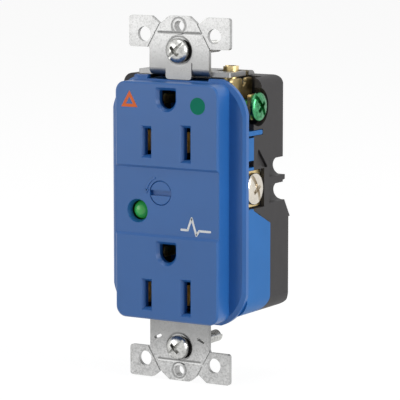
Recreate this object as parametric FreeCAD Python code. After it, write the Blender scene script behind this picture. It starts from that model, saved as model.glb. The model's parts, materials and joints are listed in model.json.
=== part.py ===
# Decorator style duplex receptacle with surge protection and an isolated ground.
# Frame: +Z up, the face looks towards -Y, the origin lies midway between the two box screws on
# the back plane of the steel strap, which is the plane of the wall.

import FreeCAD, Part
import math
import os

os.makedirs("parts", exist_ok=True)

# Driving dimensions, mm
FACE_W = 33.2
FACE_H = 66.3
FACE_Y = -8.3
PANEL_DEPTH = 0.7
PANEL_TOP = 10.0
PANEL_BOTTOM = -9.8
FLANGE_W = 43.2
FLANGE_H = 68.4
FLANGE_Y = -2.0
WALL = 2.4
CORE_W = 28.8
BODY_W = 42.4
BODY_TOP = 33.0
BODY_BOTTOM = -31.9
CORE_BOTTOM = -30.4
COVER_TOP = 34.4
PLATE_Y = 3.5
BODY_Y = 12.9
UPPER_BACK_Y = 20.1
LOWER_BACK_Y = 24.5

OUTLET_Z = (21.4, -21.4)
BLADE_DROP = -4.8
GROUND_RISE = 7.1
BLADE_X = 6.35
HOT_SLOT = (1.9, 7.4)
NEUTRAL_SLOT = (1.9, 8.9)
SLOT_BEVEL = 0.75
GROUND_R = 2.6
CHAMBER = 3.4

BUS_Y = 10.2
BUS_T = 0.8
TERMINAL_Z = 3.8
TERMINAL_Y = 4.9
WINDOW_Z = (TERMINAL_Z - 5.4, TERMINAL_Z + 5.4)
GROOVE_Z = (8.85, 1.65)
GROOVE_Y = 12.4
GROOVE_X = 20.5
GROOVE_R = 2.6
GREEN_Z = 26.4
GREEN_Y = 7.3
TAB_X = 15.5
CLAMP_X = 18.9
CLAMP_T = 1.0
HEAD_T = 1.8
THREAD_R = 2.05

STRAP_T = 1.3
STRAP_W = 19.2
STRAP_END = 51.2
STRAP_WING_W = 29.6
STRAP_TOP = 34.6
STRAP_BOTTOM = -30.55
STRAP_CHANNEL = 12.3
STRAP_BACK_Y = 14.0
BOX_SCREW_Z = 41.65
PLATE_SCREW_Z = 48.4
EAR_X = 11.3
EAR_Z = 45.9
EAR_HOLE_R = 2.1
BOX_SCREW_R = 1.75
NECK_R = 1.35
NECK_END = 1.0
SCORE_DEPTH = 0.25
FIT = 0.05

LED_X = -9.7
LED_Z = -2.9
LED_R = 2.5
SWITCH_X = -2.2
SWITCH_Z = 2.5
SWITCH_R = 3.45

POST_X = 17.6
POST_Z = (15.0, -24.5)
POST_R = 2.1
POST_LENGTH = 8.0
LONG_SCREW_R = 1.4

BOARD_Y = 16.0
BOARD_T = 1.5

X_AXIS = FreeCAD.Vector(1, 0, 0)
Y_AXIS = FreeCAD.Vector(0, 1, 0)
Z_AXIS = FreeCAD.Vector(0, 0, 1)


# Solids from a few numbers
def box(x0, x1, y0, y1, z0, z1):
    return Part.makeBox(x1 - x0, y1 - y0, z1 - z0, FreeCAD.Vector(x0, y0, z0))


def side_box(side, x0, x1, y0, y1, z0, z1):
    near, far = sorted((side * x0, side * x1))
    return box(near, far, y0, y1, z0, z1)


def rod(axis, centre, radius, start, end):
    place = FreeCAD.Vector(*centre)
    if axis == X_AXIS:
        place.x = start
    elif axis == Y_AXIS:
        place.y = start
    else:
        place.z = start
    return Part.makeCylinder(radius, end - start, place, axis)


def cone(axis, centre, r_start, r_end, start, end):
    place = FreeCAD.Vector(*centre)
    if axis == X_AXIS:
        place.x = start
    elif axis == Y_AXIS:
        place.y = start
    else:
        place.z = start
    return Part.makeCone(r_start, r_end, end - start, place, axis)


# A closed outline of corners (a, b) or (a, b, corner radius), laid in a plane by its name
def outline(corners, plane, height):
    def lift(a, b):
        if plane == "xz":
            return FreeCAD.Vector(a, height, b)
        if plane == "yz":
            return FreeCAD.Vector(height, a, b)
        return FreeCAD.Vector(a, b, height)

    count = len(corners)
    starts = []
    ends = []
    middles = []
    for i, corner in enumerate(corners):
        here = FreeCAD.Vector(corner[0], corner[1], 0)
        radius = corner[2] if len(corner) > 2 else 0
        if not radius:
            starts.append(here)
            ends.append(here)
            middles.append(None)
            continue
        before = FreeCAD.Vector(corners[i - 1][0], corners[i - 1][1], 0) - here
        after = FreeCAD.Vector(corners[(i + 1) % count][0], corners[(i + 1) % count][1], 0) - here
        half = before.getAngle(after) / 2
        before.normalize()
        after.normalize()
        reach = radius / math.tan(half)
        bisector = before + after
        bisector.normalize()
        centre = here + bisector * (radius / math.sin(half))
        starts.append(here + before * reach)
        ends.append(here + after * reach)
        middles.append(centre - bisector * radius)
    edges = []
    for i in range(count):
        following = (i + 1) % count
        if middles[i] is not None:
            edges.append(Part.Arc(lift(starts[i].x, starts[i].y), lift(middles[i].x, middles[i].y),
                                  lift(ends[i].x, ends[i].y)).toShape())
        if ends[i].sub(starts[following]).Length > 1e-6:
            edges.append(Part.LineSegment(lift(ends[i].x, ends[i].y),
                                          lift(starts[following].x, starts[following].y)).toShape())
    return Part.Wire(edges)


def prism(corners, plane, start, end):
    face = Part.Face(outline(corners, plane, start))
    axis = {"xz": Y_AXIS, "yz": X_AXIS, "xy": Z_AXIS}[plane]
    return face.extrude(axis * (end - start))


def frustum(front, back, plane, start, end):
    wires = [outline(front, plane, start), outline(back, plane, end)]
    return Part.makeLoft(wires, True, True)


def rectangle(half_a, half_b, radius=0.0, a=0.0, b=0.0):
    return [(a - half_a, b - half_b, radius), (a + half_a, b - half_b, radius),
            (a + half_a, b + half_b, radius), (a - half_a, b + half_b, radius)]


def obround(half_length, radius, plane, start, end, a=0.0, b=0.0):
    return prism(rectangle(half_length, radius, radius, a, b), plane, start, end)


def join(shapes):
    whole = shapes[0].fuse(shapes[1:]) if len(shapes) > 1 else shapes[0]
    return whole.removeSplitter()


def cut(shape, tools):
    return shape.cut(tools).removeSplitter() if tools else shape


def mirror_x(shape):
    return shape.mirror(FreeCAD.Vector(0, 0, 0), X_AXIS)


def turned(shape, centre, axis, degrees):
    copy = shape.copy()
    copy.rotate(FreeCAD.Vector(*centre), axis, degrees)
    return copy


# Outline of the flange: shallow three point curves at its corners
def flange_wire(inset, y):
    w = FLANGE_W / 2 - inset
    h = FLANGE_H / 2 - inset
    curve_w = w - 7.9
    curve_h = h - 9.2
    mid_w = w - 3.2
    mid_h = h - 3.0
    edges = []
    quarter = [(1, 1), (1, -1), (-1, -1), (-1, 1)]
    for sx, sz in quarter:
        along_top = FreeCAD.Vector(sx * curve_w, y, sz * h)
        middle = FreeCAD.Vector(sx * mid_w, y, sz * mid_h)
        along_side = FreeCAD.Vector(sx * w, y, sz * curve_h)
        edges.append(Part.Arc(along_top, middle, along_side).toShape())
    for sx in (1, -1):
        edges.append(Part.LineSegment(FreeCAD.Vector(sx * w, y, curve_h),
                                      FreeCAD.Vector(sx * w, y, -curve_h)).toShape())
    for sz in (1, -1):
        edges.append(Part.LineSegment(FreeCAD.Vector(-curve_w, y, sz * h),
                                      FreeCAD.Vector(curve_w, y, sz * h)).toShape())
    return Part.Wire(Part.__sortEdges__(edges))


def slab_from_wires(first, second):
    return Part.makeLoft([first, second], True, True)


# D shaped ground opening: round below, flat above
def ground_outline(radius, z):
    return [(-radius, z - radius, radius), (radius, z - radius, radius),
            (radius, z + radius, 0.5), (-radius, z + radius, 0.5)]


def blade_places():
    places = []
    for middle in OUTLET_Z:
        places.append((-BLADE_X, middle + BLADE_DROP, HOT_SLOT))
        places.append((BLADE_X, middle + BLADE_DROP, NEUTRAL_SLOT))
    return places


def ground_places():
    return [middle + GROUND_RISE for middle in OUTLET_Z]


def make_front_cover():
    bevel = 0.9
    flange = join([slab_from_wires(flange_wire(bevel, FLANGE_Y), flange_wire(0, FLANGE_Y + 0.6)),
                   Part.Face(flange_wire(0, FLANGE_Y + 0.6)).extrude(Y_AXIS * (-FLANGE_Y - 0.6))])
    half_w = FACE_W / 2
    half_h = FACE_H / 2
    edge = 0.45
    raised = join([
        frustum(rectangle(half_w - edge, half_h - edge, 2.6), rectangle(half_w, half_h, 3.0),
                "xz", FACE_Y, FACE_Y + edge),
        prism(rectangle(half_w, half_h, 3.0), "xz", FACE_Y + edge, FLANGE_Y + 0.1)])
    cover = join([flange, raised])
    hollow = prism(rectangle(CORE_W / 2 + 0.1, half_h - 2.3, 1.5), "xz", FACE_Y + WALL, 0.1)
    panel = prism([(FACE_Y - 0.1, PANEL_TOP + 0.1), (FACE_Y + PANEL_DEPTH, PANEL_TOP - PANEL_DEPTH),
                   (FACE_Y + PANEL_DEPTH, PANEL_BOTTOM + PANEL_DEPTH), (FACE_Y - 0.1, PANEL_BOTTOM - 0.1)],
                  "yz", -half_w - 1, half_w + 1)
    tools = [hollow, panel]
    front = FACE_Y - 0.01
    back = FACE_Y + WALL + 0.1
    for x, z, (width, height) in blade_places():
        wide = rectangle(width / 2 + SLOT_BEVEL, height / 2 + SLOT_BEVEL, 0, x, z)
        narrow = rectangle(width / 2, height / 2, 0, x, z)
        tools.append(frustum(wide, narrow, "xz", front, FACE_Y + 1.0))
        tools.append(prism(narrow, "xz", FACE_Y + 0.9, back))
    for z in ground_places():
        tools.append(frustum(ground_outline(GROUND_R + 0.8, z), ground_outline(GROUND_R, z),
                             "xz", front, FACE_Y + 1.0))
        tools.append(prism(ground_outline(GROUND_R, z), "xz", FACE_Y + 0.9, back))
        tools.append(box(-CHAMBER, CHAMBER, FACE_Y + WALL, 0.1, z - CHAMBER, z + CHAMBER))
    tools.append(cone(Y_AXIS, (LED_X, 0, LED_Z), 3.35, 2.7, FACE_Y + PANEL_DEPTH - 0.01, back))
    tools.append(rod(Y_AXIS, (SWITCH_X, 0, SWITCH_Z), SWITCH_R + FIT, FACE_Y, back))
    seat = FLANGE_H / 2 - 0.7
    notch = [(-10.1, seat), (9.7, seat), (9.7, seat + 2), (-10.1, seat + 2)]
    tools.append(prism(notch, "xz", FLANGE_Y - 1, 1))
    tools.append(box(-STRAP_W / 2 - 0.3, STRAP_W / 2 + 0.3, -STRAP_T - 0.05, 0.1, -FLANGE_H / 2 - 1, -30))
    cover = cut(cover, tools)
    posts = []
    for sx in (1, -1):
        for z in POST_Z:
            post = rod(Y_AXIS, (sx * POST_X, 0, z), POST_R, -0.05, POST_LENGTH)
            pilot = rod(Y_AXIS, (sx * POST_X, 0, z), LONG_SCREW_R + 0.02, 1.0, POST_LENGTH + 0.1)
            posts.append(post.cut(pilot))
    tab = prism([(-14.8, FLANGE_H / 2 - 0.2), (-10.1, FLANGE_H / 2 - 0.2), (-10.1, FLANGE_H / 2 + 0.35),
                 (-14.3, FLANGE_H / 2 + 0.35)], "xz", FLANGE_Y + 0.7, 0)
    return join([cover, tab] + posts)


# Blue body: a thin plate behind the flange, a deep block below and a core between the strap's legs
def side_window():
    return box(CORE_W / 2 + 0.1, BODY_W / 2 + 1, -0.1, PLATE_Y + 0.1, *WINDOW_Z)


def corner_mask(top):
    half = BODY_W / 2
    return prism([(-half, BODY_BOTTOM, 5), (half, BODY_BOTTOM, 5), (half, top, 3), (-half, top, 3)],
                 "xz", -10, 30)


def chamber_tools():
    tools = []
    for x, z, size in blade_places():
        tools.append(box(x - 2.7, x + 2.7, -7, BODY_Y + 0.1, z - 5.0, z + 5.0))
    for z in ground_places():
        tools.append(box(-CHAMBER, CHAMBER, -7, BODY_Y + 0.1, z - CHAMBER, z + CHAMBER))
    tools.append(rod(Y_AXIS, (LED_X, 0, LED_Z), 3.1, -7, 2.2))
    tools.append(rod(Y_AXIS, (SWITCH_X, 0, SWITCH_Z), 4.7, -7, -4.2))
    tools.append(rod(Y_AXIS, (SWITCH_X, 0, SWITCH_Z), 2.0 + FIT, -5, 4.2))
    return tools


# Deck between the face and the body, which guides the blades into their contacts
def make_contact_deck():
    half = CORE_W / 2 - 0.1
    top = FACE_H / 2 - 2.6
    deck = prism([(-half, CORE_BOTTOM, 1.2), (half, CORE_BOTTOM, 1.2), (half, top, 1.2), (-half, top, 1.2)],
                 "xz", FACE_Y + WALL + 0.2, 0)
    return cut(deck, chamber_tools())


def make_body_housing():
    half = BODY_W / 2
    shoulder = 18.2
    neck = 15.4
    plate = prism([(-half, BODY_BOTTOM), (half, BODY_BOTTOM), (half, shoulder), (neck, shoulder),
                   (neck, BODY_TOP, 2), (-neck, BODY_TOP, 2), (-neck, shoulder), (-half, shoulder)],
                  "xz", 0, PLATE_Y)
    block = prism([(0, BODY_BOTTOM), (BODY_Y, BODY_BOTTOM, 5), (BODY_Y, -6.6), (3.2, -2.0), (0, -2.0)],
                  "yz", -half, half)
    core = box(-CORE_W / 2, CORE_W / 2, 0, BODY_Y, BODY_BOTTOM, BODY_TOP)
    fin = prism([(0, 18.75), (8.3, 18.75, 0.6), (8.3, 20.05, 0.6), (0, 20.05)], "yz", 15.0, half)
    body = join([plate, block, core, fin, mirror_x(fin)]).common(corner_mask(BODY_TOP))
    tools = chamber_tools()
    # Channel for the strap below
    tools.append(box(-STRAP_CHANNEL, STRAP_CHANNEL, -1, BODY_Y + 1, BODY_BOTTOM - 1, CORE_BOTTOM))
    # Rear trenches for the three buses
    trench = BUS_Y - 0.2
    for sx in (1, -1):
        for middle in OUTLET_Z:
            z = middle + BLADE_DROP
            tools.append(side_box(sx, 4, 13.3, trench, BODY_Y + 0.1, z - 3.2, z + 3.2))
        tools.append(side_box(sx, 11.1, 13.3, trench, BODY_Y + 0.1, -29, 20))
        tools.append(side_box(sx, 11.1, 15, trench, BODY_Y + 0.1, TERMINAL_Z - 3.7, TERMINAL_Z + 3.7))
    tools.append(box(-3.2, 3.2, trench, BODY_Y + 0.1, -18, 32))
    tools.append(box(0, 15, trench, BODY_Y + 0.1, 23.8, 31.2))
    tools.append(box(7.9, 13.3, 5.9, BODY_Y + 0.1, 30.5, BODY_TOP + 0.1))
    # Room behind the lamp and for the leaves of the switch
    tools.append(box(LED_X - 0.6, LED_X + 0.6, 2.0, BODY_Y + 0.1, LED_Z - 1.9, LED_Z + 1.9))
    tools.append(box(SWITCH_X - 4.2, SWITCH_X + 4.2, -0.2, BODY_Y + 0.1, SWITCH_Z - 4.2, SWITCH_Z - 0.1))
    # Terminal windows, posts and the corners that the terminals need
    tools += [side_window(), mirror_x(side_window())]
    for sx in (1, -1):
        for z in POST_Z:
            tools.append(rod(Y_AXIS, (sx * POST_X, 0, z), POST_R + 0.06, -0.1, POST_LENGTH + 0.1))
            tools.append(rod(Y_AXIS, (sx * POST_X, 0, z), 1.75, -0.1, BODY_Y + 0.1))
        tools.append(side_box(sx, 15.5, 22, -0.1, 3.6, 10.0, 11.9))
        tools.append(rod(X_AXIS, (0, TERMINAL_Y, TERMINAL_Z), 2.4, *sorted((sx * 12.9, sx * 14.5))))
    tools.append(rod(X_AXIS, (0, GREEN_Y, GREEN_Z), 2.4, 12.9, 14.5))
    return cut(body, tools)


# Black shell: closed back, long arms beside the core, a step down to the deeper lower half
def make_back_cover():
    half = BODY_W / 2 - 0.1
    front_low = BODY_Y + 0.05
    front_high = PLATE_Y + 0.05
    low = BODY_BOTTOM + 0.4
    high_back = UPPER_BACK_Y
    rib_back = 21.3
    side = [(7.5, low), (7.5, -3.8), (front_high, -2.05), (front_high, COVER_TOP),
            (high_back, COVER_TOP, 1.2), (high_back, 6.4), (rib_back, 6.2), (rib_back, 4.9),
            (high_back, 4.7), (high_back + 0.6, -0.4), (LOWER_BACK_Y, -6.3), (LOWER_BACK_Y, low, 1.2)]
    shell = prism(side, "yz", -half, half).common(corner_mask(COVER_TOP))
    seat = prism([(0, BODY_BOTTOM - 0.1), (front_low, BODY_BOTTOM - 0.1, 5.1), (front_low, -6.5),
                  (3.2, -1.88), (0, -1.88)], "yz", -half - 1, half + 1)
    throat = box(-14.9, 14.9, 0, STRAP_BACK_Y + STRAP_T + 0.15, -40, 40)
    upper_room = box(-13.5, 13.5, 15, UPPER_BACK_Y - 1.8, -27.8, 28)
    lower_room = box(-13.5, 13.5, 15, LOWER_BACK_Y - 1.8, -27.8, -7.2)
    tools = [seat, throat, upper_room, lower_room]
    for sx in (1, -1):
        tools.append(side_box(sx, 14.5, CLAMP_X, 3, 11.9, *WINDOW_Z))
        tools.append(side_box(sx, CLAMP_X - 0.1, half + 1, 3, 9.5, *WINDOW_Z))
        for z in GROOVE_Z:
            tools.append(rod(Y_AXIS, (sx * GROOVE_X, 0, z), GROOVE_R, GROOVE_Y, 26))
            tools.append(side_box(sx, 14.5, 20.0, 9.4, GROOVE_Y + 0.1, z - 2.1, z + 2.1))
        tools.append(prism([(3.4, 18.6), (8.6, 18.6), (8.6, 20.2), (3.4, 20.2)], "yz",
                           *sorted((sx * 14.5, sx * (half + 1)))))
        triangle = [(6.2, 15.0, 0.4), (4.9, 10.6, 0.4), (11.9, 8.9, 0.4)]
        tools.append(prism(triangle, "yz", *sorted((sx * (half - 0.8), sx * (half + 1)))))
        for z in POST_Z:
            tools.append(rod(Y_AXIS, (sx * POST_X, 0, z), POST_R + 0.06, 3, POST_LENGTH + 0.1))
            tools.append(rod(Y_AXIS, (sx * POST_X, 0, z), 1.75, 3, 24))
            shelf = (UPPER_BACK_Y if z > 0 else LOWER_BACK_Y) - 2.5
            tools.append(rod(Y_AXIS, (sx * POST_X, 0, z), 2.9, shelf, 25))
        edge = [(sx * half, LOWER_BACK_Y - 1.0), (sx * (half + 1), LOWER_BACK_Y - 1.0),
                (sx * (half + 1), LOWER_BACK_Y + 1), (sx * (half - 1.0), LOWER_BACK_Y + 1),
                (sx * (half - 1.0), LOWER_BACK_Y)]
        tools.append(prism(edge, "xy", -31, -6))
    # Ground terminal: room for its plate and a round recess for its head
    tools.append(box(14.5, CLAMP_X, 3, 11.9, 20.2, 40))
    tools.append(rod(X_AXIS, (0, GREEN_Y - 0.9, GREEN_Z), 5.3, CLAMP_X - 0.1, half + 1))
    tools.append(prism([(3, 27.5), (7.9, 31.2), (7.9, 40), (3, 40)], "yz", CLAMP_X - 0.1, half + 1))
    return cut(shell, tools)


# Steel strap: one bent profile, kept inside the outline of each of its faces
def ear_outline(sign):
    top = STRAP_END
    half = STRAP_W / 2
    right = [(half, 30), (half, 41.8), (10.0, 42.3), (16.25, 42.3, 0.8), (16.25, 51.0, 0.8),
             (8.9, 51.0, 0.4), (6.2, 48.9), (3.25, top, 0.4)]
    left = [(-point[0],) + tuple(point[1:]) for point in reversed(right)]
    return [(point[0], sign * point[1]) + tuple(point[2:]) for point in right + left]


def score(x0, z0, x1, z1, front, back):
    length = math.hypot(x1 - x0, z1 - z0)
    groove = box(-0.5, length + 0.5, front, back, -0.28, 0.28)
    groove.rotate(FreeCAD.Vector(0, 0, 0), Y_AXIS, -math.degrees(math.atan2(z1 - z0, x1 - x0)))
    groove.translate(FreeCAD.Vector(x0, 0, z0))
    return groove


def make_strap():
    t = STRAP_T
    back = STRAP_BACK_Y
    inner = 0.8
    outer = inner + t
    top = STRAP_TOP
    low = STRAP_BOTTOM
    end = STRAP_END + 1
    profile = [(-t, end), (-t, top, outer), (back, top, inner), (back, low, inner), (-t, low, outer),
               (-t, -end), (0, -end), (0, low - t, inner), (back + t, low - t, outer),
               (back + t, top + t, outer), (0, top + t, inner), (0, end)]
    bent = prism(profile, "yz", -17, 17)
    wing = STRAP_WING_W / 2
    masks = [
        prism(ear_outline(1), "xz", -t - 1, 0.9),
        prism(ear_outline(-1), "xz", -t - 1, 0.9),
        prism([(-9.6, 0.5), (9.6, 0.5), (wing, 1.2, 0.8), (wing, 17), (-wing, 17), (-wing, 1.2, 0.8)],
              "xy", 33, 38),
        prism([(-9.6, 0.5), (9.6, 0.5), (12, 1.5), (12, 17), (-12, 17), (-12, 1.5)], "xy", -35, -30),
        prism([(-12, -33), (12, -33), (12, -22), (7.5, -17), (7.5, 18), (wing, 25), (wing, 37), (-wing, 37),
               (-wing, 25), (-7.5, 18), (-7.5, -17), (-12, -22)], "xz", 12.9, 17)]
    strap = bent.common(join(masks))
    tools = [box(-5.2, 5.2, 12, 17, -3.5, 8.5),
             box(7.6, 13.6, 5.7, 11.7, 33, 38),
             box(13.4, 16, 10.0, 11.7, 33, 38)]
    extras = []
    for sign in (1, -1):
        tools.append(obround(4.2, 3.1, "xz", -3, 3, 0, sign * BOX_SCREW_Z))
        tools.append(rod(Y_AXIS, (0, 0, sign * PLATE_SCREW_Z), 1.5, -4, 4))
        for sx in (1, -1):
            tools.append(rod(Y_AXIS, (sx * EAR_X, 0, sign * EAR_Z), EAR_HOLE_R, -3, 3))
            for front, back in ((-STRAP_T - 1, -STRAP_T + SCORE_DEPTH), (-SCORE_DEPTH, 1)):
                tools.append(score(sx * 6.2, sign * 48.9, sx * 10.0, sign * 42.3, front, back))
        tools.append(score(-7.6, sign * 46.3, 7.6, sign * 46.3, -STRAP_T - 1, -STRAP_T + SCORE_DEPTH))
        ring = rod(Y_AXIS, (0, 0, sign * PLATE_SCREW_Z), 2.25, -t, 1.4)
        extras.append(ring.cut(rod(Y_AXIS, (0, 0, sign * PLATE_SCREW_Z), 1.5, -4, 4)))
    for sx in (1, -1):
        lance = obround(1.3, 0.4, "xz", -3, 3, sx * 7.0, -39.2)
        tools.append(turned(lance, (sx * 7.0, 0, -39.2), Y_AXIS, sx * 24))
    strap = cut(strap, tools)
    tongue = prism([(-4.15, 33.65, 0.9), (4.15, 33.65, 0.9), (4.15, 38.3), (-4.15, 38.3)],
                   "xz", -t - 0.25, -0.1)
    return join([strap, tongue] + extras)


# Round head box screw with a slot and a cross, shank along +Y
def make_box_screw(z):
    head_back = -STRAP_T - 0.3
    head = join([rod(Y_AXIS, (0, 0, z), 3.5, head_back - 0.9, head_back),
                 cone(Y_AXIS, (0, 0, z), 2.7, 3.5, head_back - 2.0, head_back - 0.9),
                 cone(Y_AXIS, (0, 0, z), 1.5, 2.7, head_back - 2.6, head_back - 2.0)])
    centre = (0, 0, z)
    slot = turned(box(-4, 4, head_back - 4, head_back - 1.6, z - 0.45, z + 0.45), centre, Y_AXIS, -42)
    cross = turned(box(-0.45, 0.45, head_back - 4, head_back - 1.1, z - 1.9, z + 1.9), centre, Y_AXIS, -42)
    neck = rod(Y_AXIS, (0, 0, z), NECK_R, head_back - 0.1, NECK_END + 0.1)
    shank = rod(Y_AXIS, (0, 0, z), BOX_SCREW_R, NECK_END, 19.6)
    tip = cone(Y_AXIS, (0, 0, z), BOX_SCREW_R, 0.9, 19.6, 21.0)
    return join([cut(head, [slot, cross]), neck, shank, tip])


def make_washers():
    rings = []
    for sign in (1, -1):
        ring = rod(Y_AXIS, (0, 0, sign * BOX_SCREW_Z), 4.3, 0.02, 0.82)
        rings.append(ring.cut(rod(Y_AXIS, (0, 0, sign * BOX_SCREW_Z), NECK_R + FIT, -1, 2)))
    return Part.makeCompound(rings)


# Spring contact for one blade: two leaves that flare at the mouth, joined at the back
def blade_contact(x, z):
    t = 0.5
    half = 1.15
    mouth = -4.9
    leaf = [(half, BUS_Y + 0.1), (half, -2.6), (half + 0.9, mouth), (half + 0.9 + t, mouth),
            (half + t, -2.4), (half + t, BUS_Y + 0.1)]
    right = prism([(x + a, b) for a, b in leaf], "xy", z - 2.9, z + 2.9)
    left = prism([(x - a, b) for a, b in leaf], "xy", z - 2.9, z + 2.9)
    return [right, left]


def make_side_bus():
    parts = []
    back = BUS_Y + BUS_T
    for middle in OUTLET_Z:
        z = middle + BLADE_DROP
        parts += blade_contact(BLADE_X, z)
        parts.append(box(BLADE_X - 1.75, 13.0, BUS_Y, back, z - 2.9, z + 2.9))
    foot = OUTLET_Z[1] + BLADE_DROP - 2.9
    crown = OUTLET_Z[0] + BLADE_DROP + 2.9
    parts.append(box(11.4, 13.0, BUS_Y, back, foot, crown))
    parts.append(box(11.4, TAB_X + BUS_T, BUS_Y, back, TERMINAL_Z - 3.6, TERMINAL_Z + 3.6))
    parts.append(prism([(0.3, TERMINAL_Z - 4, 1), (back, TERMINAL_Z - 3.6), (back, TERMINAL_Z + 3.6),
                        (0.3, TERMINAL_Z + 4, 1)], "yz", TAB_X, TAB_X + BUS_T))
    hole = rod(X_AXIS, (0, TERMINAL_Y, TERMINAL_Z), THREAD_R + FIT, 14, 20)
    return cut(join(parts), [hole])


def ground_sleeve(z):
    ring = rod(Y_AXIS, (0, 0, z), 3.0, -4.8, BUS_Y + 0.1).cut(rod(Y_AXIS, (0, 0, z), 2.5, -6, 12))
    wedge = prism([(0, z), (5, z - 2.88), (5, z + 2.88)], "xz", -6, 12)
    return [ring.common(wedge), ring.common(mirror_x(wedge))]


def make_ground_bus():
    back = BUS_Y + BUS_T
    parts = []
    for z in ground_places():
        parts += ground_sleeve(z)
    upper, lower = ground_places()
    parts.append(box(-3.0, 3.0, BUS_Y, back, lower - 3.0, upper + 3.0))
    parts.append(box(0, TAB_X + BUS_T, BUS_Y, back, 24.2, 30.8))
    top = 34.2
    tab = prism([(0.1, 28.2), (2.6, 23.0, 1), (6.0, 21.6, 1), (back, 22.4), (back, top, 0.8),
                 (7.4, top, 0.6), (7.4, 32.6, 0.5), (5.6, 31.4, 0.5), (5.6, top, 0.6), (0.1, top, 0.8)],
                "yz", TAB_X, TAB_X + BUS_T)
    parts.append(tab)
    # Curl that stands up through the window of the strap
    parts.append(box(8.5, 12.7, BUS_Y, back, 30.0, 33.4))
    curl = rod(Z_AXIS, (10.6, 8.7, 0), 2.4, 33.0, 37.2).cut(rod(Z_AXIS, (10.6, 8.7, 0), 1.7, 32, 38))
    gap = prism([(10.6, 8.7), (9.0, 5.0), (6.0, 8.2), (7.5, 10.0)], "xy", 32, 38)
    parts.append(curl.cut(gap).common(box(7, 14, 5, back, 32, 38)))
    tools = [rod(X_AXIS, (0, GREEN_Y, GREEN_Z), THREAD_R + FIT, 14, 20)]
    for z in ground_places():
        tools.append(rod(Y_AXIS, (0, 0, z), 2.5, 9, 12))
    return cut(join(parts), tools)


# Terminal screw and its pressure plate on the right side, seen from its axis
def make_terminal_screw(y, z, head_r, turn):
    start = CLAMP_X + CLAMP_T
    rim = start + HEAD_T - 0.6
    head = join([rod(X_AXIS, (0, y, z), head_r, start, rim),
                 cone(X_AXIS, (0, y, z), head_r, head_r - 1.6, rim, start + HEAD_T)])
    centre = (0, y, z)
    reach = head_r + 1
    slot = turned(box(start + 0.9, 25, y - reach, y + reach, z - 0.6, z + 0.6), centre, X_AXIS, turn)
    cross = turned(box(start + 0.6, 25, y - 0.6, y + 0.6, z - 2.6, z + 2.6), centre, X_AXIS, turn)
    shank = rod(X_AXIS, (0, y, z), THREAD_R, 14.2, start + 0.1)
    return join([cut(head, [slot, cross]), shank])


def make_clamp_plate(y, z, half_y, half_z):
    plate = prism(rectangle(half_y, half_z, 0.8, y, z), "yz", CLAMP_X, CLAMP_X + CLAMP_T)
    lips = [prism(rectangle(half_y - 0.4, 0.4, 0, y, z + side * (half_z - 0.7)),
                  "yz", CLAMP_X - 0.35, CLAMP_X + 0.1) for side in (1, -1)]
    hole = rod(X_AXIS, (0, y, z), THREAD_R + 0.15, 15, 21)
    return cut(join([plate] + lips), [hole])


# Slotted disc of the alarm switch with a shoulder behind the face and a cam on its stem
def make_alarm_switch():
    front = FACE_Y + PANEL_DEPTH
    place = (SWITCH_X, 0, SWITCH_Z)
    disc = rod(Y_AXIS, place, SWITCH_R, front, FACE_Y + WALL + 0.15)
    slot = box(SWITCH_X - 4, SWITCH_X + 4, front - 1, front + 0.9, SWITCH_Z - 0.95, SWITCH_Z + 0.95)
    shoulder = rod(Y_AXIS, place, 4.4, FACE_Y + WALL + 0.05, FACE_Y + WALL + 1.2)
    stem = rod(Y_AXIS, place, 2.0, FACE_Y + WALL + 1.0, 3.6)
    flat = box(SWITCH_X - 3, SWITCH_X + 3, 0.4, 4, SWITCH_Z - 3, SWITCH_Z - 1.2)
    return cut(join([cut(disc, [slot]), shoulder, stem]), [flat])


def make_switch_contacts():
    leaves = []
    for step in (0, 1):
        z = SWITCH_Z - 2.45 - step * 0.9
        reach = 2.7 - step * 0.3
        leaf = box(SWITCH_X - reach, SWITCH_X + reach, 0.8, 3.2, z - 0.12, z + 0.12)
        foot = box(SWITCH_X - reach + step, SWITCH_X - reach + step + 0.3, 0.8, 16.0, z - 0.6, z + 0.12)
        leaves.append(join([leaf, foot]))
    return Part.makeCompound(leaves)


def make_led():
    place = (LED_X, 0, LED_Z)
    tip = cone(Y_AXIS, place, 0.8, 1.75, -6.2, -5.7)
    shoulder = cone(Y_AXIS, place, 1.75, LED_R, -5.7, -4.4)
    barrel = rod(Y_AXIS, place, LED_R, -4.4, 1.9)
    rim = rod(Y_AXIS, place, 2.9, 0.9, 1.9)
    return join([tip, shoulder, barrel, rim])


def make_led_leads():
    pins = []
    for s in (1, -1):
        z = LED_Z + s * 1.27
        pins.append(box(LED_X - 0.25, LED_X + 0.25, 1.9, BOARD_Y + BOARD_T + 0.4, z - 0.25, z + 0.25))
    return Part.makeCompound(pins)


def make_insulator():
    sheet = box(-14, 14, BODY_Y + 0.05, BODY_Y + 0.45, -27.5, 31.5)
    tools = [box(LED_X - 0.6, LED_X + 0.6, 12, 14, LED_Z - 1.9, LED_Z + 1.9),
             box(SWITCH_X - 3.0, SWITCH_X - 0.9, 12, 14, SWITCH_Z - 4.6, SWITCH_Z - 1.9)]
    for sx in (1, -1):
        tools.append(rod(Y_AXIS, (sx * 12.2, 0, -8.0), 1.2, 12, 14))
    tools.append(rod(Y_AXIS, (0, 0, 20), 0.8, 12, 14))
    return cut(sheet, tools)


def make_board():
    board = box(-13, 13, BOARD_Y, BOARD_Y + BOARD_T, -27, 9.2)
    tools = []
    for s in (1, -1):
        z = LED_Z + s * 1.27
        tools.append(box(LED_X - 0.26, LED_X + 0.26, 15, 19, z - 0.26, z + 0.26))
        tools.append(rod(Y_AXIS, (s * 12.2, 0, -8.0), 0.62, 15, 19))
    return cut(board, tools)


def make_varistors():
    discs = []
    for x in (-8.6, 0.0, 8.6):
        base = BOARD_Y + BOARD_T
        discs.append(rod(Y_AXIS, (x, 0, -22.6), 4.1, base, base + 3.8))
    return Part.makeCompound(discs)


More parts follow.
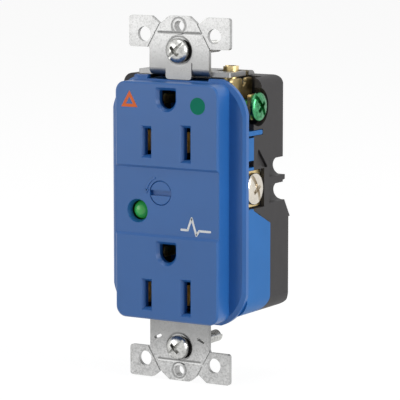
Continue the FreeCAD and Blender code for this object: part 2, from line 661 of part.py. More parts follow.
def make_thermal_fuses():
    axis_y = BOARD_Y + BOARD_T + 1.3
    fuses = []
    for x in (-4.2, 4.2):
        barrel = Part.makeCylinder(1.2, 7.0, FreeCAD.Vector(x - 3.5, axis_y, -16.6), X_AXIS)
        fuses.append(barrel)
    return Part.makeCompound(fuses)


def make_sounder():
    can = rod(Y_AXIS, (-7.0, 0, -11.0), 3.6, BOARD_Y + BOARD_T, BOARD_Y + BOARD_T + 3.9)
    return can.cut(rod(Y_AXIS, (-7.0, 0, -11.0), 0.9, BOARD_Y + BOARD_T + 3.0, 23))


def make_capacitor():
    return prism([(0.5, -14.6, 0.6), (10.5, -14.6, 0.6), (10.5, -9.2, 0.6), (0.5, -9.2, 0.6)],
                 "xz", BOARD_Y + BOARD_T, BOARD_Y + BOARD_T + 3.9)


def make_resistors():
    bodies = []
    for i in range(4):
        z = 6.5 - i * 2.2
        bodies.append(box(3.0, 6.2, BOARD_Y + BOARD_T, BOARD_Y + BOARD_T + 0.6, z - 0.8, z + 0.8))
    return Part.makeCompound(bodies)


def make_line_leads():
    pins = []
    for sx in (1, -1):
        pins.append(rod(Y_AXIS, (sx * 12.2, 0, -8.0), 0.6, BUS_Y + BUS_T, BOARD_Y + BOARD_T + 0.4))
    return Part.makeCompound(pins)


def make_assembly_screws():
    screws = []
    for sx in (1, -1):
        for z in POST_Z:
            seat = (UPPER_BACK_Y if z > 0 else LOWER_BACK_Y) - 2.5
            shank = rod(Y_AXIS, (sx * POST_X, 0, z), LONG_SCREW_R, 1.2, seat + 0.1)
            head = rod(Y_AXIS, (sx * POST_X, 0, z), 2.7, seat, seat + 1.8)
            slot = box(sx * POST_X - 1.9, sx * POST_X + 1.9, seat + 0.9, seat + 3, z - 0.35, z + 0.35)
            slot = turned(slot, (sx * POST_X, 0, z), Y_AXIS, 30)
            screws.append(cut(join([shank, head]), [slot]))
    return Part.makeCompound(screws)


side_bus = make_side_bus()
silver = make_terminal_screw(TERMINAL_Y, TERMINAL_Z, 4.5, 118)
neutral_clamp = make_clamp_plate(TERMINAL_Y, TERMINAL_Z, 4.3, 5.0)

nodes = {
    "front_cover": make_front_cover(),
    "contact_deck": make_contact_deck(),
    "body_housing": make_body_housing(),
    "back_cover": make_back_cover(),
    "mounting_strap": make_strap(),
    "upper_mounting_screw": make_box_screw(BOX_SCREW_Z),
    "lower_mounting_screw": make_box_screw(-BOX_SCREW_Z),
    "mounting_screw_washers": make_washers(),
    "neutral_bus": side_bus,
    "hot_bus": mirror_x(side_bus),
    "ground_bus": make_ground_bus(),
    "neutral_terminal_screw": silver,
    "hot_terminal_screw": mirror_x(silver),
    "ground_terminal_screw": make_terminal_screw(GREEN_Y, GREEN_Z, 4.05, 130),
    "neutral_clamp_plate": neutral_clamp,
    "hot_clamp_plate": mirror_x(neutral_clamp),
    "ground_clamp_plate": make_clamp_plate(GREEN_Y, GREEN_Z, 3.5, 3.5),
    "alarm_switch": make_alarm_switch(),
    "alarm_switch_contacts": make_switch_contacts(),
    "status_led": make_led(),
    "led_leads": make_led_leads(),
    "fibre_insulator": make_insulator(),
    "circuit_board": make_board(),
    "surge_varistors": make_varistors(),
    "thermal_fuses": make_thermal_fuses(),
    "alarm_sounder": make_sounder(),
    "film_capacitor": make_capacitor(),
    "board_resistors": make_resistors(),
    "line_leads": make_line_leads(),
    "assembly_screws": make_assembly_screws(),
}

for name, shape in nodes.items():
    shape.exportStep("parts/" + name + ".step")
    print(name, len(shape.Solids), round(shape.Volume, 1), shape.isValid())
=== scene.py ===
import json
import math

import bmesh
import bpy
from mathutils import Matrix, Vector


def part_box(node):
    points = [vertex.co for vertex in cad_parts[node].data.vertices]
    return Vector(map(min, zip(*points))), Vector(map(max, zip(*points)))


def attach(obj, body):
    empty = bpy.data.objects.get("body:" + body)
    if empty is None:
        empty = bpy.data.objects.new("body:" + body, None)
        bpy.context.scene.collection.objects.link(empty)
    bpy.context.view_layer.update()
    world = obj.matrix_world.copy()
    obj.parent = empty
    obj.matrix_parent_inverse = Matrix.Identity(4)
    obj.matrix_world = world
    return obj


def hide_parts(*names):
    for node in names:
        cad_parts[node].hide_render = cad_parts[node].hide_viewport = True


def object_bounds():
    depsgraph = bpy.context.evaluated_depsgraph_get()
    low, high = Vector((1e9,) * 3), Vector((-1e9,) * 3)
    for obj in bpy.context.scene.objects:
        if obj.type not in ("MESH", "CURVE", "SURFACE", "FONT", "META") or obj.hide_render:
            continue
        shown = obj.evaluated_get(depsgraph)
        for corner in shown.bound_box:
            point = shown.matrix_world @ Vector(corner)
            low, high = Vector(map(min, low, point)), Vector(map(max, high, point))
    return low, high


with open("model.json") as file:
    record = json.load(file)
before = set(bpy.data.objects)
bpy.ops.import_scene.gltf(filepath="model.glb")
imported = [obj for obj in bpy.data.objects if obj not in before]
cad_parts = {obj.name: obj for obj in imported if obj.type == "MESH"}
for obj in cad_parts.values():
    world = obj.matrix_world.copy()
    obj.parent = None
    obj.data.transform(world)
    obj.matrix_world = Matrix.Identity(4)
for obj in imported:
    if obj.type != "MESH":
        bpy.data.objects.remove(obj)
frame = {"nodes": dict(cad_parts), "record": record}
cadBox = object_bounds()
print("frame loaded:", len(frame["nodes"]), "nodes")

mm = 0.001
toFront = Matrix.Rotation(math.radians(90), 4, "X")  # a shape's own +Z turned to look at the viewer
toRight = Matrix.Rotation(math.radians(90), 4, "Y")
toLeft = Matrix.Rotation(math.radians(-90), 4, "Y")


# Shader maths: a socket that takes part in Python expressions
class Wire:
    def __init__(self, tree, socket=None):
        self.tree = tree
        self.socket = socket

    def node(self, kind, settings, sockets, output=0):
        made = self.tree.nodes.new(kind)
        for name, value in settings.items():
            if name == "stops":
                self.setStops(made.color_ramp, value)
            else:
                setattr(made, name, value)
        for name, value in sockets.items():
            if isinstance(value, Wire):
                self.tree.links.new(value.socket, made.inputs[name])
            else:
                made.inputs[name].default_value = value
        return Wire(self.tree, made.outputs[output])

    def setStops(self, ramp, stops):
        last = len(stops) - 1
        for i, (place, colour) in enumerate(stops):
            if i == 0:
                stop = ramp.elements[0]
            elif i == last:
                stop = ramp.elements[-1]
            else:
                stop = ramp.elements.new(place)
            stop.position = place
            stop.color = (*colour, 1)

    def sum(self, operation, *values):
        return self.node("ShaderNodeMath", {"operation": operation}, dict(enumerate(values)))

    def __add__(self, other):
        return self.sum("ADD", self, other)

    __radd__ = __add__

    def __sub__(self, other):
        return self.sum("SUBTRACT", self, other)

    def __mul__(self, other):
        return self.sum("MULTIPLY", self, other)

    __rmul__ = __mul__

    def __or__(self, other):
        return self.sum("MAXIMUM", self, other)


# What the recipes share
def objectPoint(start, stretch=(1, 1, 1)):
    point = start.node("ShaderNodeTexCoord", {}, {}, "Object")
    return start.node("ShaderNodeMapping", {}, {"Vector": point, "Scale": stretch})


def noise(start, size, detail=2.0, stretch=(1, 1, 1)):  # size of a blotch in metres
    sockets = {"Vector": objectPoint(start, stretch), "Scale": 1 / size, "Detail": detail}
    return start.node("ShaderNodeTexNoise", {}, sockets)


def cells(start, size):  # one random grey value a cell
    sockets = {"Vector": objectPoint(start), "Scale": 1 / size, "Randomness": 1.0}
    colour = start.node("ShaderNodeTexVoronoi", {}, sockets, "Color")
    return start.node("ShaderNodeSeparateColor", {}, {"Color": colour}, "Red")


def ramp(start, factor, *stops):
    return start.node("ShaderNodeValToRGB", {"stops": stops}, {"Fac": factor})


def blendColours(start, factor, first, second):
    sockets = {0: factor, 6: first if isinstance(first, Wire) else (*first, 1),
               7: second if isinstance(second, Wire) else (*second, 1)}
    return start.node("ShaderNodeMix", {"data_type": "RGBA"}, sockets, 2)


def bump(start, height, depth):
    return start.node("ShaderNodeBump", {}, {"Height": height, "Distance": depth, "Strength": 1.0})


def along(start, axis):
    return start.node("ShaderNodeSeparateXYZ", {}, {"Vector": objectPoint(start)}, axis)


def fade(start, value, near, far):  # 1 up to near, falling to 0 at far
    sockets = {"Value": value, "From Min": near, "From Max": far, "To Min": 1.0, "To Max": 0.0}
    return start.node("ShaderNodeMapRange", {"interpolation_type": "SMOOTHSTEP"}, sockets)


def lineAt(start, distance, place, width):  # 1 on the line, fading to 0 at its edges
    return fade(start, start.sum("ABSOLUTE", distance - place), 0.0, width)


def ringAt(start, height, radius, width):  # round a point on the strap's centre line, at both ends
    across = along(start, "X")
    up = start.sum("ABSOLUTE", along(start, "Z")) - height
    return lineAt(start, start.sum("SQRT", across * across + up * up), radius, width)


def scaled(colour, factor):
    return tuple(min(1.0, part * factor) for part in colour)


def newMaterial(name, recipe):
    material = bpy.data.materials.new(name)
    material.use_nodes = True
    tree = material.node_tree
    shader = tree.nodes["Principled BSDF"]
    for socket, value in recipe(Wire(tree)).items():
        if isinstance(value, Wire):
            tree.links.new(value.socket, shader.inputs[socket])
        else:
            shader.inputs[socket].default_value = value
    return material


# Moulded plastic: a slow drift of shade, a fine grain from the tool and small roughness patches
def mouldedPlastic(colour, roughness, grain, depth, gloss):
    def recipe(start):
        drift = noise(start, 14 * mm, 3)
        patches = noise(start, 2.5 * mm, 4)
        return {
            "Base Color": blendColours(start, drift, scaled(colour, 0.90), scaled(colour, 1.10)),
            "Roughness": roughness - 0.05 + 0.10 * patches,
            "Normal": bump(start, noise(start, grain, 2), depth),
            "Specular IOR Level": gloss,
        }
    return recipe


# Plated sheet: crystals of zinc, dull specks and long rolling marks, with what the press leaves in the bump,
# painted shade towards the bends and along the pressed lines, and a painted shadow round the screw heads
# where the strap's painted shade and pressed bump go: a span of painted shade towards the bends, crease and
# collar lines darkened as painted shade, and a ring of painted shadow round each screw head
strapPressAndShade = {
    "bendShadeSpan": (36 * mm, 46 * mm), "creaseTop": 46.5 * mm, "creaseLow": -45.5 * mm, "creaseHalf": 7.0 * mm,
    "creaseWidth": 0.55 * mm, "collarHeight": 48.4 * mm, "collarRadius": 2.2 * mm, "collarWidth": 0.5 * mm,
    "seatShadowHeight": 41.65 * mm, "seatShadowRadius": 3.8 * mm, "seatShadowWidth": 0.6 * mm, "pressed": 6.0,
}


def platedSheet(colour, roughness, crystal, pressAndShade):
    def recipe(start):
        spangle = cells(start, crystal)
        specks = noise(start, 0.45 * mm, 4)
        cloud = noise(start, 5 * mm, 3)
        shade = ramp(start, 0.30 * spangle + 0.40 * specks + 0.30 * cloud,
                     (0.25, scaled(colour, 0.60)), (0.48, scaled(colour, 0.95)), (0.72, scaled(colour, 1.16)))
        height = along(start, "Z")
        # painted shade: the sheet grows darker from 46 mm in to 36 mm from the middle and stays dark inside
        # that, by the bends next to the body; the cloud makes it patchy
        shadeNearBend = fade(start, start.sum("ABSOLUTE", height), *pressAndShade["bendShadeSpan"])
        # pressed crease lines, dented in the bump and darkened as painted shade
        creases = (lineAt(start, height, pressAndShade["creaseTop"], pressAndShade["creaseWidth"])
                   | lineAt(start, height, pressAndShade["creaseLow"], pressAndShade["creaseWidth"]))
        inside = start.sum("LESS_THAN", start.sum("ABSOLUTE", along(start, "X")), pressAndShade["creaseHalf"])
        # collar ring dented in the bump and darkened as painted shade; seat ring: a painted shadow round each
        # screw head, also dented in the bump
        collar = ringAt(start, pressAndShade["collarHeight"], pressAndShade["collarRadius"], pressAndShade["collarWidth"])
        seat = ringAt(start, pressAndShade["seatShadowHeight"], pressAndShade["seatShadowRadius"], pressAndShade["seatShadowWidth"])
        lines = (creases * inside) | (0.7 * collar) | (0.7 * seat)
        rolled = noise(start, 0.5 * mm, 2, (1, 1, 0.08))
        # painted shade blended into the sheet's colour towards the bends
        sheetWithBendShade = blendColours(start, shadeNearBend * (0.55 + 0.45 * cloud), shade, scaled(colour, 0.50))
        return {
            # the lines darken the colour: painted shade in the creases and round the collar, painted shadow
            # round the screw heads
            "Base Color": blendColours(start, 0.85 * lines, sheetWithBendShade, scaled(colour, 0.28)),
            "Metallic": 1.0,
            "Roughness": roughness - 0.08 + 0.12 * spangle + 0.10 * specks,
            "Normal": bump(start, 0.5 * rolled + 0.5 * specks - pressAndShade["pressed"] * lines, 0.025 * mm),
        }
    return recipe


# Bright plated screw: a clear colour with a faint fine grain in the bump and rubbed patches
def brightMetal(colour, roughness, worn):
    def recipe(start):
        rubbed = noise(start, 0.8 * mm, 4)
        fine = noise(start, 0.12 * mm, 2)
        return {
            "Base Color": ramp(start, rubbed, (0.30, scaled(colour, worn)), (0.60, colour)),
            "Metallic": 1.0,
            "Roughness": roughness + 0.12 * rubbed,
            "Normal": bump(start, fine, 0.006 * mm),
        }
    return recipe


# Rolled brass: draw lines along the strip and a little tarnish
def rolledBrass(colour, roughness):
    def recipe(start):
        lines = noise(start, 0.25 * mm, 2, (1, 0.1, 1))
        tarnish = noise(start, 2.2 * mm, 4)
        return {
            "Base Color": ramp(start, tarnish, (0.32, scaled(colour, 0.62)), (0.55, colour),
                               (0.75, scaled(colour, 1.08))),
            "Metallic": 1.0,
            "Roughness": roughness + 0.16 * tarnish,
            "Normal": bump(start, lines, 0.012 * mm),
        }
    return recipe


# Pressed fibre: short flecks in a soft ground
def pressedFibre(colour):
    def recipe(start):
        flecks = noise(start, 0.35 * mm, 5, (1, 1, 0.3))
        return {
            "Base Color": ramp(start, flecks, (0.35, scaled(colour, 0.7)), (0.65, scaled(colour, 1.25))),
            "Roughness": 0.75 + 0.15 * flecks,
            "Normal": bump(start, flecks, 0.05 * mm),
        }
    return recipe


# Tinted lens: deeper tint in streaks below a glossy skin, with a faint glow
def tintedLens(colour, glow):
    def recipe(start):
        streaks = noise(start, 1.8 * mm, 2)
        tint = blendColours(start, streaks, scaled(colour, 0.8), scaled(colour, 1.15))
        return {
            "Base Color": tint,
            "Roughness": 0.22 + 0.06 * streaks,
            "Emission Color": tint,
            "Emission Strength": glow,
            "Coat Weight": 0.25,
            "Coat Roughness": 0.2,
        }
    return recipe


# Printed ink: even colour with a slightly broken edge of shade
def printedInk(colour):
    def recipe(start):
        film = noise(start, 0.5 * mm, 3)
        return {
            "Base Color": blendColours(start, film, scaled(colour, 0.93), scaled(colour, 1.05)),
            "Roughness": 0.45 + 0.12 * film,
            "Specular IOR Level": 0.12,
        }
    return recipe


paint = {
    "blue_nylon": mouldedPlastic((0.018, 0.126, 0.400), 0.36, 0.25 * mm, 0.005 * mm, 0.60),
    # painted light: the body's blue is a lighter copy of the cover's blue, standing in for the stronger light
    # on the body sides
    "lit_body_blue": mouldedPlastic((0.020, 0.150, 0.440), 0.45, 0.25 * mm, 0.008 * mm, 0.22),
    "black_nylon": mouldedPlastic((0.029, 0.027, 0.028), 0.55, 0.18 * mm, 0.014 * mm, 0.35),
    "galvanised_steel": platedSheet((0.46, 0.46, 0.455), 0.36, 0.4 * mm, strapPressAndShade),
    "zinc_steel": brightMetal((0.62, 0.62, 0.60), 0.22, 0.60),
    "nickel_screw": brightMetal((0.70, 0.65, 0.57), 0.16, 0.90),
    "brass_screw": brightMetal((0.72, 0.50, 0.18), 0.22, 0.65),
    "green_screw": brightMetal((0.075, 0.34, 0.15), 0.22, 0.40),
    "brass": rolledBrass((0.80, 0.62, 0.30), 0.24),
    "dark_fibre": pressedFibre((0.030, 0.027, 0.025)),
    "grey_fibre": pressedFibre((0.20, 0.19, 0.17)),
    "green_lens": tintedLens((0.030, 0.36, 0.060), 0.22),
    "tinned_wire": brightMetal((0.72, 0.72, 0.71), 0.28, 0.75),
    "board_green": mouldedPlastic((0.012, 0.095, 0.035), 0.35, 0.4 * mm, 0.01 * mm, 0.5),
    "varistor_blue": mouldedPlastic((0.012, 0.06, 0.27), 0.45, 0.3 * mm, 0.03 * mm, 0.5),
    "fuse_white": mouldedPlastic((0.72, 0.70, 0.62), 0.5, 0.3 * mm, 0.02 * mm, 0.4),
    "capacitor_yellow": mouldedPlastic((0.68, 0.42, 0.035), 0.35, 0.5 * mm, 0.01 * mm, 0.5),
}
finishes = {name: newMaterial(name, recipe) for name, recipe in paint.items()}
slotOf = {part["node"]: part["material_slot"] for part in frame["record"]["subparts"]}
slotOf["body_housing"] = "lit_body_blue"  # the cover's blue, made lighter as painted light for the more brightly lit body, and less polished
for name, shown in frame["nodes"].items():
    shown.data.materials.clear()
    shown.data.materials.append(finishes[slotOf[name]])
print("finishes on", len(slotOf), "nodes")


# Pieces: a bmesh in its own frame, then placed
sharpAngle = 35  # degrees; edges sharper than this stay sharp
mergeDistance = 1e-7


def newPiece(name, bm, place, finish, body="root", smooth=None):
    bmesh.ops.remove_doubles(bm, verts=bm.verts, dist=mergeDistance)
    bmesh.ops.recalc_face_normals(bm, faces=bm.faces)
    bmesh.ops.transform(bm, matrix=place, verts=bm.verts)
    mesh = bpy.data.meshes.new(name)
    bm.to_mesh(mesh)
    bm.free()
    piece = bpy.data.objects.new(name, mesh)
    bpy.context.scene.collection.objects.link(piece)
    mesh.materials.append(finish)
    if smooth is not None:
        mesh.shade_smooth()
        mesh.set_sharp_from_angle(angle=math.radians(smooth))
    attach(piece, body)
    return piece


def revolved(points, steps):  # (radius, height) pairs turned about Z
    bm = bmesh.new()
    verts = [bm.verts.new((radius, 0, height)) for radius, height in points]
    chain = [bm.edges.new(pair) for pair in zip(verts, verts[1:])]
    bmesh.ops.spin(bm, geom=verts + chain, cent=(0, 0, 0), axis=(0, 0, 1), angle=math.tau,
                   steps=steps, use_merge=True)
    bmesh.ops.remove_doubles(bm, verts=bm.verts, dist=mergeDistance)
    return bm


def block(size, centre, turn=0.0, taper=1.0):
    bm = bmesh.new()
    bmesh.ops.create_cube(bm, size=1)
    bmesh.ops.scale(bm, vec=size, verts=bm.verts)
    low = [v for v in bm.verts if v.co.z < 0]
    bmesh.ops.scale(bm, vec=(taper, taper, 1), verts=low)
    bmesh.ops.translate(bm, vec=centre, verts=bm.verts)
    bmesh.ops.rotate(bm, cent=(0, 0, 0), matrix=Matrix.Rotation(turn, 3, "Z"), verts=bm.verts)
    return bm


def carve(bm, cutters):  # takes the cutters out of a closed shape
    whole = bpy.data.meshes.new("whole")
    bm.to_mesh(whole)
    bm.free()
    blank = bpy.data.objects.new("blank", whole)
    bpy.context.scene.collection.objects.link(blank)
    tools = []
    for cutter in cutters:
        mesh = bpy.data.meshes.new("cutter")
        cutter.to_mesh(mesh)
        cutter.free()
        tool = bpy.data.objects.new("cutter", mesh)
        bpy.context.scene.collection.objects.link(tool)
        tools.append(tool)
        step = blank.modifiers.new("cut", "BOOLEAN")
        step.operation = "DIFFERENCE"
        step.solver = "EXACT"
        step.object = tool
    bpy.context.view_layer.update()
    carved = bpy.data.meshes.new_from_object(blank.evaluated_get(bpy.context.evaluated_depsgraph_get()))
    result = bmesh.new()
    result.from_mesh(carved)
    for spent in tools + [blank]:
        bpy.data.objects.remove(spent)
    return result


def addMesh(bm, other):
    spare = bpy.data.meshes.new("spare")
    other.to_mesh(spare)
    other.free()
    bm.from_mesh(spare)
    bpy.data.meshes.remove(spare)


# Machine screw, its head up: crowned head with a slot and a cross, rolled thread and a short point
headMaking = {"edge": 0.15 * mm, "rings": 10, "steps": 56, "crossTaper": 0.55}
threadMaking = {"depth": 0.42 * mm, "crestStart": 0.42, "crestEnd": 0.55, "steps": 24, "merge": 2e-6,
                "pointSteps": 24}


def screwShape(size):
    radius = size["headRadius"]
    crown = size["crown"]
    rise = size["rim"]
    edge = headMaking["edge"]
    profile = [(0, 0), (radius - edge, 0), (radius, edge), (radius, rise)]
    rings = headMaking["rings"]
    for i in range(1, rings):
        angle = math.pi / 2 * i / rings
        profile.append((radius * math.cos(angle), rise + crown * math.sin(angle)))
    top = rise + crown
    profile.append((0, top))
    head = revolved(profile, headMaking["steps"])
    bmesh.ops.recalc_face_normals(head, faces=head.faces)
    turn = size["turn"]
    cutters = [block((3 * radius, size["slotWidth"], 2 * size["slotDepth"]), (0, 0, top), turn)]
    for span, width in ((size["crossSpan"], size["crossWidth"]), (size["crossWidth"], size["crossSpan"])):
        wing = (span, width, 2 * size["crossDepth"])
        cutters.append(block(wing, (0, 0, top), turn, headMaking["crossTaper"]))
    bm = carve(head, cutters)
    addMesh(bm, threadShape(size))
    return bm


def threadShape(size):
    pitch = size["pitch"]
    outer = size["shankRadius"]
    root = outer - threadMaking["depth"]
    steps = threadMaking["steps"]
    neck = size["neck"]
    length = size["shankLength"]
    turns = (length - neck) / pitch
    bm = bmesh.new()
    crestStart = threadMaking["crestStart"] * pitch
    crestEnd = threadMaking["crestEnd"] * pitch
    tooth = [(root, 0), (outer, crestStart), (outer, crestEnd), (root, pitch)]
    verts = [bm.verts.new((radius, 0, -neck - height)) for radius, height in tooth]
    chain = [bm.edges.new(pair) for pair in zip(verts, verts[1:])]
    bmesh.ops.spin(bm, geom=verts + chain, cent=(0, 0, 0), axis=(0, 0, 1), angle=math.tau * turns,
                   steps=round(steps * turns), dvec=(0, 0, -pitch / steps))
    bmesh.ops.remove_doubles(bm, verts=bm.verts, dist=threadMaking["merge"])
    bmesh.ops.holes_fill(bm, edges=[e for e in bm.edges if e.is_boundary], sides=0)
    tip = -length - size["point"]
    point = [(0, -length + pitch), (root, -length + pitch), (root, -length), (0.5 * root, tip), (0, tip)]
    addMesh(bm, revolved(point, threadMaking["pointSteps"]))
    if neck:
        plain = [(0, 0), (root, 0), (root, -neck - pitch), (0, -neck - pitch)]
        addMesh(bm, revolved(plain, threadMaking["pointSteps"]))
    return bm


boxScrew = {
    "headRadius": 3.45 * mm, "rim": 0.45 * mm, "crown": 2.15 * mm,
    "slotWidth": 0.85 * mm, "slotDepth": 1.35 * mm,
    "crossWidth": 1.35 * mm, "crossSpan": 4.5 * mm, "crossDepth": 2.0 * mm, "turn": math.radians(45),
    "pitch": 0.794 * mm, "shankRadius": 1.73 * mm, "shankLength": 21.0 * mm,
    "point": 1.3 * mm, "neck": 2.7 * mm,
}
for label in ("upper", "lower"):
    node = label + "_mounting_screw"
    low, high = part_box(node)
    middle = (low + high) / 2
    seat = low.y + boxScrew["rim"] + boxScrew["crown"]
    place = Matrix.Translation((middle.x, seat, middle.z)) @ toFront
    shape = screwShape(boxScrew)
    piece = newPiece(label + "_box_screw", shape, place, finishes["zinc_steel"], label + "_screw", sharpAngle)
    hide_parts(node)

terminalScrew = {
    "rim": 0.75 * mm, "crown": 1.0 * mm, "slotWidth": 1.25 * mm, "slotDepth": 0.95 * mm,
    "crossWidth": 1.5 * mm, "crossSpan": 5.4 * mm, "crossDepth": 1.3 * mm,
    "pitch": 0.794 * mm, "shankRadius": 2.02 * mm, "shankLength": 5.2 * mm,
    "point": 0.4 * mm, "neck": 0.0,
}
terminals = {  # facing, finish, head radius and how far the slot is turned, in degrees
    "neutral": (toRight, "nickel_screw", 4.45 * mm, 28),
    "hot": (toLeft, "brass_screw", 4.45 * mm, -28),
    "ground": (toRight, "green_screw", 4.0 * mm, 40),
}
for label, (facing, slotName, radius, turn) in terminals.items():
    node = label + "_terminal_screw"
    low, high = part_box(node)
    middle = (low + high) / 2
    size = dict(terminalScrew, headRadius=radius, turn=math.radians(turn))
    tall = size["rim"] + size["crown"]
    seat = high.x - tall if label != "hot" else low.x + tall
    place = Matrix.Translation((seat, middle.y, middle.z)) @ facing
    shape = screwShape(size)
    piece = newPiece(label + "_wire_screw", shape, place, finishes[slotName], label + "_screw", sharpAngle)
    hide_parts(node)
print("screws made")


# Lamp: a round dome on its barrel, with the flange behind it
lamp = {"radius": 2.6 * mm, "flangeRadius": 2.9 * mm, "flangeDepth": 1.0 * mm, "forward": 0.75 * mm,
        "steps": 48, "rings": 12, "sharp": 40}


def lampShape(length):
    radius = lamp["radius"]
    profile = [(0, 0), (lamp["flangeRadius"], 0), (lamp["flangeRadius"], lamp["flangeDepth"]),
               (radius, lamp["flangeDepth"])]
    for i in range(lamp["rings"] + 1):
        angle = math.pi / 2 * i / lamp["rings"]
        profile.append((radius * math.cos(angle), length - radius + radius * math.sin(angle)))
    return revolved(profile, lamp["steps"])


low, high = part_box("status_led")
middle = (low + high) / 2
place = Matrix.Translation((middle.x, high.y, middle.z)) @ toFront
shape = lampShape(high.y - low.y + lamp["forward"])
dome = newPiece("indicator_dome", shape, place, finishes["green_lens"], "root", lamp["sharp"])
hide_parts("status_led")
print("lamp made")

# Alarm switch: slotted disc with a chamfered rim, shoulder and cam stem
switchSize = {"radius": 3.45 * mm, "chamfer": 0.28 * mm, "disc": 1.85 * mm, "shoulderRadius": 4.4 * mm,
              "shoulder": 1.15 * mm, "stemRadius": 2.0 * mm, "slotWidth": 1.55 * mm, "slotDepth": 1.1 * mm,
              "flat": 1.2 * mm, "flatLength": 3.2 * mm, "steps": 72}


def switchShape(size, length):
    radius = size["radius"]
    chamfer = size["chamfer"]
    shoulderTop = -size["disc"]
    shoulderBack = shoulderTop - size["shoulder"]
    stem = size["stemRadius"]
    shoulder = size["shoulderRadius"]
    profile = [(0, -length), (stem, -length), (stem, shoulderBack), (shoulder, shoulderBack),
               (shoulder, shoulderTop), (radius, shoulderTop), (radius, -chamfer),
               (radius - chamfer, 0), (0, 0)]
    body = revolved(profile, size["steps"])
    bmesh.ops.recalc_face_normals(body, faces=body.faces)
    span = 3 * radius
    slot = block((span, size["slotWidth"], 2 * size["slotDepth"]), (0, 0, 0))
    flatMiddle = (0, -size["flat"] - span / 2, -length + size["flatLength"] / 2)
    camFlat = block((span, span, size["flatLength"]), flatMiddle)
    return carve(body, [slot, camFlat])


low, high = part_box("alarm_switch")
switchMiddle = (low + high) / 2
place = Matrix.Translation((switchMiddle.x, low.y, switchMiddle.z)) @ toFront
shape = switchShape(switchSize, high.y - low.y)
disc = newPiece("switch_disc", shape, place, finishes["blue_nylon"], "alarm_switch", sharpAngle)
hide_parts("alarm_switch")
print("switch made")

# Printed marks, a film's thickness on the face
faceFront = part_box("front_cover")[0].y
marks = {
    "film": 0.05 * mm,
    "orange": (0.88, 0.19, 0.055),
    "green": (0.001, 0.200, 0.120),
    "white": (0.93, 0.96, 0.97),
    "triangleX": -11.8 * mm, "triangleZ": 27.6 * mm, "triangleSize": 3.05 * mm, "triangleBand": 0.85 * mm,
    "dotX": 10.2 * mm, "dotZ": 27.3 * mm, "dotRadius": 2.35 * mm,
}
inks = {name: newMaterial("ink_" + name, printedInk(marks[name])) for name in ("orange", "green", "white")}


def filmPlace(x, z, front):
    return Matrix.Translation((x, front, z)) @ toFront


def thicken(bm, faces):
    grown = bmesh.ops.extrude_face_region(bm, geom=faces)
    tops = [v for v in grown["geom"] if isinstance(v, bmesh.types.BMVert)]
    bmesh.ops.translate(bm, vec=(0, 0, marks["film"]), verts=tops)


triangle = bmesh.new()
bmesh.ops.create_circle(triangle, cap_ends=True, radius=marks["triangleSize"], segments=3)
hole = list(triangle.faces)
bmesh.ops.inset_region(triangle, faces=hole, thickness=marks["triangleBand"], use_even_offset=True,
                       use_boundary=True)
bmesh.ops.delete(triangle, geom=hole, context="FACES_ONLY")
thicken(triangle, list(triangle.faces))
place = filmPlace(marks["triangleX"], marks["triangleZ"], faceFront)
newPiece("isolated_ground_mark", triangle, place, inks["orange"])

dot = bmesh.new()
bmesh.ops.create_circle(dot, cap_ends=True, radius=marks["dotRadius"], segments=64)
thicken(dot, list(dot.faces))
newPiece("grade_mark", dot, filmPlace(marks["dotX"], marks["dotZ"], faceFront), inks["green"])

# Pulse sign on the sunk panel, strokes of one width with round joints
pulse = {"stroke": 0.62 * mm, "x": 4.6 * mm, "z": -7.2 * mm, "panelSunk": 0.7 * mm, "jointSides": 20,
         "jointHeight": 0.98,
         "corners": ((0, 0), (2.0, 0), (3.3, 3.4), (4.8, -1.3), (5.7, 0), (9.2, 0))}
panelFront = faceFront + pulse["panelSunk"]


def strokes(corners, width):
    bm = bmesh.new()
    for (x0, z0), (x1, z1) in zip(corners, corners[1:]):
        length = math.hypot(x1 - x0, z1 - z0) * mm
        bar = block((length, width, 1), (0, 0, 0))
        turn = Matrix.Rotation(math.atan2(z1 - z0, x1 - x0), 4, "Z")
        place = Matrix.Translation(((x0 + x1) / 2 * mm, (z0 + z1) / 2 * mm, marks["film"] / 2)) @ turn
        bmesh.ops.transform(bar, matrix=place @ Matrix.Scale(marks["film"], 4, (0, 0, 1)), verts=bar.verts)
        addMesh(bm, bar)
    for x, z in corners:
        place = Matrix.Translation((x * mm, z * mm, marks["film"] / 2))
        bmesh.ops.create_cone(bm, cap_ends=True, segments=pulse["jointSides"], radius1=width / 2,
                              radius2=width / 2, depth=pulse["jointHeight"] * marks["film"], matrix=place)
    return bm


place = filmPlace(pulse["x"], pulse["z"], panelFront)
newPiece("pulse_mark", strokes(pulse["corners"], pulse["stroke"]), place, inks["white"])

# Moulded arrow round the switch disc: a swept band with closed ends, and a three-sided tip
arrow = {"radius": 4.5 * mm, "width": 0.45 * mm, "rise": 0.2 * mm, "from": 112, "sweep": 62, "steps": 16,
         "head": 0.8 * mm}


def bandShape(size):
    inner = size["radius"] - size["width"] / 2
    outer = size["radius"] + size["width"] / 2
    bm = bmesh.new()
    corners = [(inner, 0), (outer, 0), (outer, size["rise"]), (inner, size["rise"])]
    verts = [bm.verts.new((x, 0, z)) for x, z in corners]
    ring = [bm.edges.new(pair) for pair in zip(verts, verts[1:] + verts[:1])]
    bmesh.ops.spin(bm, geom=verts + ring, cent=(0, 0, 0), axis=(0, 0, 1), angle=math.radians(size["sweep"]),
                   steps=size["steps"])
    bmesh.ops.holes_fill(bm, edges=[e for e in bm.edges if e.is_boundary], sides=0)
    return bm


def tipShape(size):
    bm = bmesh.new()
    bmesh.ops.create_cone(bm, cap_ends=True, segments=3, radius1=size["head"], radius2=size["head"],
                          depth=size["rise"])
    atEnd = Matrix.Rotation(math.radians(size["sweep"]), 4, "Z")
    place = atEnd @ Matrix.Translation((size["radius"], 0, size["rise"] / 2))
    bmesh.ops.transform(bm, matrix=place, verts=bm.verts)
    return bm


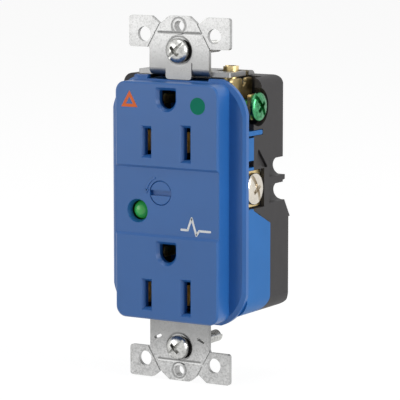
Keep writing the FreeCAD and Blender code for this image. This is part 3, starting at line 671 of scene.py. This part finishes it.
arrowShape = bandShape(arrow)
addMesh(arrowShape, tipShape(arrow))
bmesh.ops.rotate(arrowShape, cent=(0, 0, 0), matrix=Matrix.Rotation(math.radians(arrow["from"]), 3, "Z"),
                 verts=arrowShape.verts)
place = filmPlace(switchMiddle.x, switchMiddle.z, panelFront)
newPiece("turn_arrow", arrowShape, place, finishes["blue_nylon"])
print("marks made")

# Floor, pale and plain; it shows near white to the camera and in gloss, and still takes a shadow
floorSettings = {"drop": 0.3 * mm, "half": 3.0, "ownLight": 0.75, "glow": 1.22, "shade": (0.80, 0.80, 0.80)}
backdrop = (1.0, 1.0, 1.0)


def seenRay(start):
    path = start.node("ShaderNodeLightPath", {}, {}, "Is Camera Ray")
    glossy = start.node("ShaderNodeLightPath", {}, {}, "Is Glossy Ray")
    through = start.node("ShaderNodeLightPath", {}, {}, "Is Transmission Ray")
    return path | glossy | through


floorMesh = bmesh.new()
bmesh.ops.create_grid(floorMesh, x_segments=1, y_segments=1, size=floorSettings["half"])
bmesh.ops.translate(floorMesh, vec=(0, 0, cadBox[0].z - floorSettings["drop"]), verts=floorMesh.verts)
mesh = bpy.data.meshes.new("floor")
floorMesh.to_mesh(mesh)
floorMesh.free()
floor = bpy.data.objects.new("floor", mesh)
scene = bpy.context.scene
scene.collection.objects.link(floor)
floorMaterial = bpy.data.materials.new("floor_white")
floorMaterial.use_nodes = True
tree = floorMaterial.node_tree
tree.nodes.remove(tree.nodes["Principled BSDF"])
start = Wire(tree)
matt = start.node("ShaderNodeBsdfDiffuse", {}, {"Color": (*floorSettings["shade"], 1)})
glow = start.node("ShaderNodeEmission", {}, {"Color": (*backdrop, 1), "Strength": floorSettings["glow"]})
own = seenRay(start) * floorSettings["ownLight"]
mixed = start.node("ShaderNodeMixShader", {}, {0: own, 1: matt, 2: glow})
tree.links.new(mixed.socket, tree.nodes["Material Output"].inputs["Surface"])
mesh.materials.append(floorMaterial)

# World: white where it is seen, a soft grey where it lights
worldSettings = {"fill": 0.15}
world = bpy.data.worlds.new("studio")
world.use_nodes = True
scene.world = world
tree = world.node_tree
start = Wire(tree)
strength = seenRay(start) * (1 - worldSettings["fill"]) + worldSettings["fill"]
tree.nodes["Background"].inputs["Color"].default_value = (*backdrop, 1)
tree.links.new(strength.socket, tree.nodes["Background"].inputs["Strength"])

# Soft lamps: direction as azimuth and elevation seen from the object, distance, size and power
lamps = {
    "key": {"azimuth": -41, "elevation": 12, "distance": 0.95, "size": 0.8, "power": 4.0},
    "side": {"azimuth": 88, "elevation": 16, "distance": 1.0, "size": 0.55, "power": 7.0},
    "top": {"azimuth": 10, "elevation": 80, "distance": 1.0, "size": 0.6, "power": 2.0},
}
centre = (cadBox[0] + cadBox[1]) / 2
for name, lampSize in lamps.items():
    azimuth = math.radians(lampSize["azimuth"])
    elevation = math.radians(lampSize["elevation"])
    away = Vector((math.sin(azimuth) * math.cos(elevation), -math.cos(azimuth) * math.cos(elevation),
                   math.sin(elevation)))
    data = bpy.data.lights.new(name, "AREA")
    data.shape = "SQUARE"
    data.size = lampSize["size"]
    data.energy = lampSize["power"]
    light = bpy.data.objects.new(name, data)
    light.location = centre + away * lampSize["distance"]
    light.rotation_euler = (-away).to_track_quat("-Z", "Y").to_euler()
    scene.collection.objects.link(light)

# Camera at the photograph's place
view = {"place": (0.3584, -0.5894, 0.0940), "target": (0.01098, -0.0083, 0.00159),
        "lens": 224.7, "sensor": 36.0}
cameraData = bpy.data.cameras.new("camera")
cameraData.lens = view["lens"]
cameraData.sensor_width = view["sensor"]
camera = bpy.data.objects.new("camera", cameraData)
camera.location = view["place"]
camera.rotation_euler = (Vector(view["target"]) - Vector(view["place"])).to_track_quat("-Z", "Y").to_euler()
scene.collection.objects.link(camera)
scene.camera = camera
scene.view_settings.view_transform = "Standard"
print("stage, lamps and camera ready")
